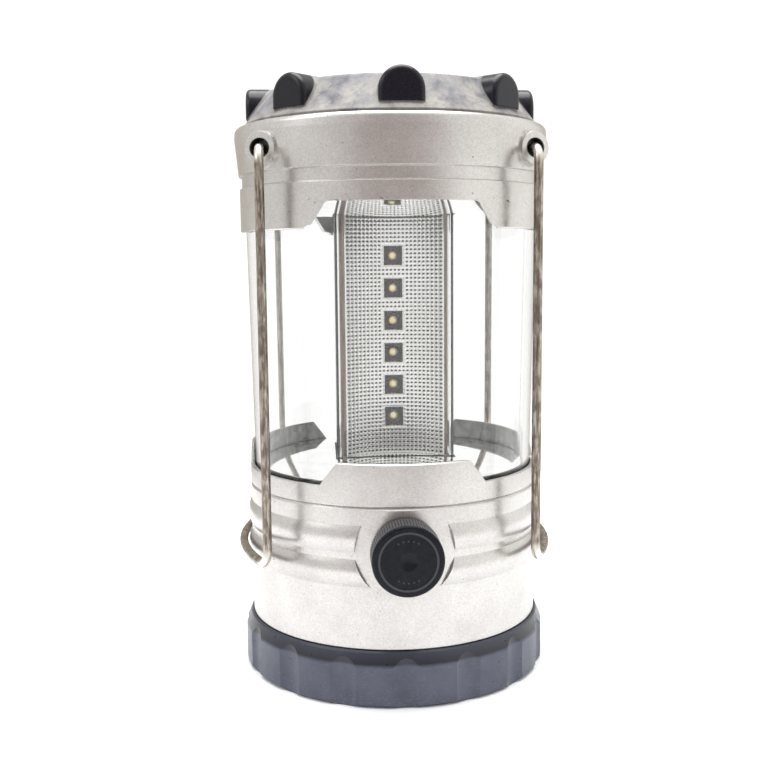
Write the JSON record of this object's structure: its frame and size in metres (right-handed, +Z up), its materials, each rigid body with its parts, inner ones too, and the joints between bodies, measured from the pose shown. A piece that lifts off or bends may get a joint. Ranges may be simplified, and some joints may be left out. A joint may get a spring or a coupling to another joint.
{
  "type": "camping lantern",
  "caption": "Battery camping lantern: clear globe round a two-sided LED column, dimmer knob, screw-off fluted base cap, studded crown and two swinging wire handles.",
  "frame": {"origin": "centre of the base cap's underside, on the surface that the lantern stands on", "axes": "+Z up along the lantern's axis, -Y towards the knob, handles at -X and +X"},
  "size_m": [0.0997, 0.1044, 0.181],
  "materials": {
    "silver_paint": "satin silver paint over moulded plastic",
    "black_plastic": "satin black moulded plastic, dusty in the corners",
    "slate_plastic": "satin slate moulded plastic",
    "clear_plastic": "clear polished plastic",
    "plated_mirror": "vacuum-plated bright mirror",
    "wire_steel": "nickel-plated wire, slightly oxidised",
    "screw_steel": "zinc-plated steel",
    "board": "brown phenolic board",
    "green_board": "green circuit board",
    "led_lens": "clear epoxy lens over a yellow chip",
    "seal_rubber": "soft black rubber",
    "white_plastic": "natural white moulded plastic",
    "cell_can": "dry cell in a printed sleeve with no marks",
    "contact_metal": "plated brass contact",
    "dimmer_metal": "pressed steel can",
    "wire_sleeve": "PVC-covered lead",
    "chip_black": "moulded black components"
  },
  "bodies": {
    "lantern": {"crown_cap": "black_plastic", "crown_screws": "screw_steel", "top_ring": "silver_paint", "ceiling_reflector": "plated_mirror", "ceiling_screws": "screw_steel", "globe_seal_upper": "seal_rubber", "clear_globe": "clear_plastic", "globe_seal_lower": "seal_rubber", "column_sleeve": "clear_plastic", "reflector_front": "plated_mirror", "reflector_rear": "plated_mirror", "led_board": "board", "leds_front": "led_lens", "leds_rear": "led_lens", "column_base": "white_plastic", "column_screws": "screw_steel", "floor_reflector": "plated_mirror", "lower_collar": "silver_paint", "lower_housing": "silver_paint", "cap_seal": "seal_rubber", "battery_holder": "white_plastic", "holder_screws": "screw_steel", "battery_cells": "cell_can", "contact_springs": "screw_steel", "top_contacts": "contact_metal", "dimmer_control": "dimmer_metal", "dimmer_washer": "screw_steel", "dimmer_nut": "screw_steel", "driver_board": "green_board", "driver_parts": "chip_black", "led_wires": "wire_sleeve", "battery_wires": "wire_sleeve"},
    "bail_left": {"bail_left": "wire_steel"},
    "bail_right": {"bail_right": "wire_steel"},
    "knob": {"knob": "black_plastic", "dimmer_shaft": "dimmer_metal"},
    "contact_plate": {"contact_disc": "white_plastic", "bottom_contacts": "contact_metal"},
    "base_cap": {"base_cap": "slate_plastic", "disc_rivet": "contact_metal"}
  },
  "joints": [
    {"name": "left_handle", "type": "hinge", "parent": "lantern", "child": "bail_left", "pos_m": [-0.0395, 0, 0.16], "axis": [0, 1, 0], "range_deg": [0, 193]},
    {"name": "right_handle", "type": "hinge", "parent": "lantern", "child": "bail_right", "pos_m": [0.0395, 0, 0.16], "axis": [0, -1, 0], "range_deg": [0, 193]},
    {"name": "dimmer", "type": "hinge", "parent": "lantern", "child": "knob", "pos_m": [0, -0.05, 0.0455], "axis": [0, 1, 0], "range_deg": [0, 300]},
    {"name": "cap_drop", "type": "slide", "parent": "lantern", "child": "contact_plate", "axis": [0, 0, -1], "range_m": [0, 0.006]},
    {"name": "cap_turn", "type": "hinge", "parent": "contact_plate", "child": "base_cap", "pos_m": [0, 0, 0.008], "axis": [0, 0, -1], "range_deg": [0, 180]}
  ],
  "couplings": [
    {"joint": "cap_drop", "follows": "cap_turn", "m_per_rad": 0.0019099}
  ]
}
